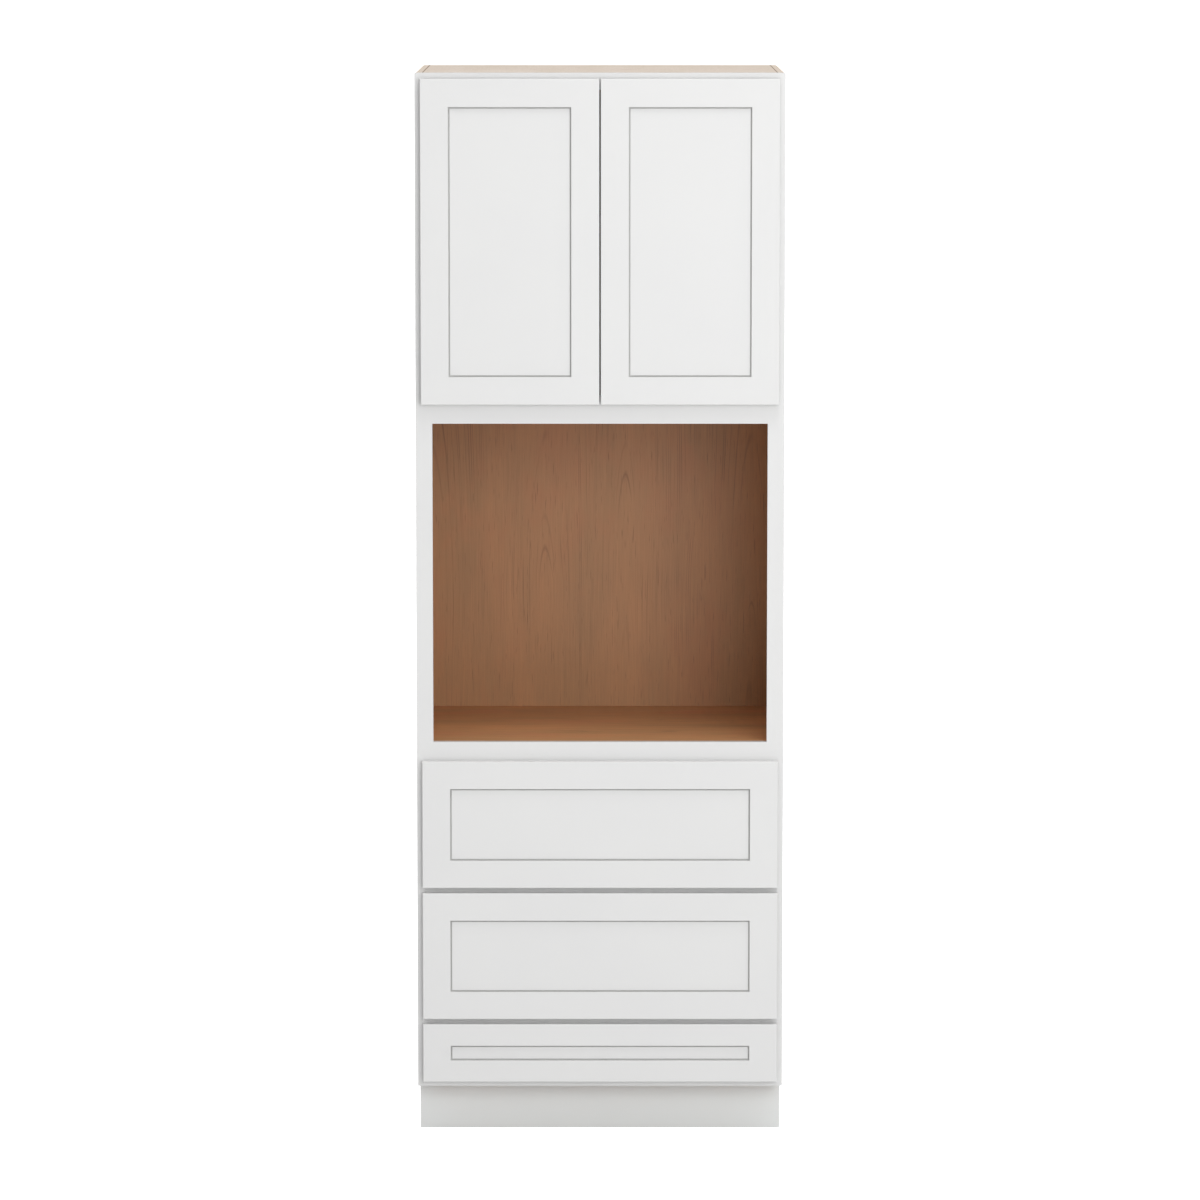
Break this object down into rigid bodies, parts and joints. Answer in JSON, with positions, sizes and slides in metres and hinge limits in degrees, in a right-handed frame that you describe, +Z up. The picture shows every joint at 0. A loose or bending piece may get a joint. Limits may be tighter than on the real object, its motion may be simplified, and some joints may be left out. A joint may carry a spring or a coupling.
{
  "type": "double oven cabinet",
  "caption": "Tall white shaker kitchen cabinet: hinged-door cupboard over an open oven bay lined in maple, with sliding drawers and a recessed toe kick below.",
  "frame": {"origin": "on the floor, under the middle of the cabinet's width and of its whole depth, doors included", "axes": "+Z up, the doors face -Y, +X to the right seen from the front"},
  "size_m": [0.8382, 0.6316, 2.4384],
  "materials": {
    "white_paint": "satin white paint on hardwood",
    "side_board": "plywood, white outside, maple veneer inside",
    "maple_veneer": "clear-finished maple veneer plywood",
    "raw_plywood": "unfinished plywood",
    "drawer_maple": "clear-finished solid maple",
    "zinc_steel": "bright zinc plate",
    "nickel_steel": "satin nickel plate",
    "bumper_plastic": "soft clear plastic"
  },
  "bodies": {
    "cabinet": {"adjustable_shelf": "maple_veneer", "back_nailers": "raw_plywood", "back_panel": "maple_veneer", "bottom_panel": "maple_veneer", "cupboard_floor": "maple_veneer", "frame_bottom_rail": "white_paint", "frame_left_stile": "white_paint", "frame_lower_drawer_rail": "white_paint", "frame_lower_oven_rail": "white_paint", "frame_right_stile": "white_paint", "frame_top_rail": "white_paint", "frame_upper_drawer_rail": "white_paint", "frame_upper_oven_rail": "white_paint", "hinge_arms": "nickel_steel", "left_side_panel": "side_board", "oven_deck": "maple_veneer", "oven_deck_cleats": "raw_plywood", "right_side_panel": "side_board", "shelf_pins": "nickel_steel", "slide_cabinet_members": "zinc_steel", "slide_cleats": "raw_plywood", "toe_kick_board": "raw_plywood", "toe_kick_skin": "white_paint", "top_panel": "raw_plywood"},
    "left_door": {"left_door_bumpers": "bumper_plastic", "left_door_hinge_cups": "nickel_steel", "left_door_hinge_pins": "nickel_steel", "left_door_panel": "white_paint", "left_door_rails": "white_paint", "left_door_stiles": "white_paint"},
    "lower_drawer": {"lower_drawer_box_bottom": "drawer_maple", "lower_drawer_box_ends": "drawer_maple", "lower_drawer_box_sides": "drawer_maple", "lower_drawer_front_panel": "white_paint", "lower_drawer_front_rails": "white_paint", "lower_drawer_front_stiles": "white_paint", "lower_drawer_slide_runners": "zinc_steel"},
    "lower_slide_middle": {"lower_slide_middle_members": "zinc_steel"},
    "middle_drawer": {"middle_drawer_box_bottom": "drawer_maple", "middle_drawer_box_ends": "drawer_maple", "middle_drawer_box_sides": "drawer_maple", "middle_drawer_front_panel": "white_paint", "middle_drawer_front_rails": "white_paint", "middle_drawer_front_stiles": "white_paint", "middle_drawer_slide_runners": "zinc_steel"},
    "middle_slide_middle": {"middle_slide_middle_members": "zinc_steel"},
    "right_door": {"right_door_bumpers": "bumper_plastic", "right_door_hinge_cups": "nickel_steel", "right_door_hinge_pins": "nickel_steel", "right_door_panel": "white_paint", "right_door_rails": "white_paint", "right_door_stiles": "white_paint"},
    "upper_drawer": {"upper_drawer_box_bottom": "drawer_maple", "upper_drawer_box_ends": "drawer_maple", "upper_drawer_box_sides": "drawer_maple", "upper_drawer_front_panel": "white_paint", "upper_drawer_front_rails": "white_paint", "upper_drawer_front_stiles": "white_paint", "upper_drawer_slide_runners": "zinc_steel"},
    "upper_slide_middle": {"upper_slide_middle_members": "zinc_steel"}
  },
  "joints": [
    {"name": "left_door_swing", "type": "hinge", "parent": "cabinet", "child": "left_door", "pos_m": [-0.3999, -0.30478, 2.0574], "axis": [0, 0, -1], "range_deg": [0, 100]},
    {"name": "right_door_swing", "type": "hinge", "parent": "cabinet", "child": "right_door", "pos_m": [0.3999, -0.30478, 2.0574], "axis": [0, 0, 1], "range_deg": [0, 100]},
    {"name": "upper_drawer_slide", "type": "slide", "parent": "cabinet", "child": "upper_drawer", "axis": [0, -1, 0], "range_m": [0, 0.52]},
    {"name": "upper_middle_member_slide", "type": "slide", "parent": "cabinet", "child": "upper_slide_middle", "axis": [0, -1, 0], "range_m": [0, 0.26]},
    {"name": "middle_drawer_slide", "type": "slide", "parent": "cabinet", "child": "middle_drawer", "axis": [0, -1, 0], "range_m": [0, 0.52]},
    {"name": "middle_middle_member_slide", "type": "slide", "parent": "cabinet", "child": "middle_slide_middle", "axis": [0, -1, 0], "range_m": [0, 0.26]},
    {"name": "lower_drawer_slide", "type": "slide", "parent": "cabinet", "child": "lower_drawer", "axis": [0, -1, 0], "range_m": [0, 0.52]},
    {"name": "lower_middle_member_slide", "type": "slide", "parent": "cabinet", "child": "lower_slide_middle", "axis": [0, -1, 0], "range_m": [0, 0.26]}
  ],
  "couplings": [
    {"joint": "upper_middle_member_slide", "follows": "upper_drawer_slide", "ratio": 0.5},
    {"joint": "middle_middle_member_slide", "follows": "middle_drawer_slide", "ratio": 0.5},
    {"joint": "lower_middle_member_slide", "follows": "lower_drawer_slide", "ratio": 0.5}
  ]
}
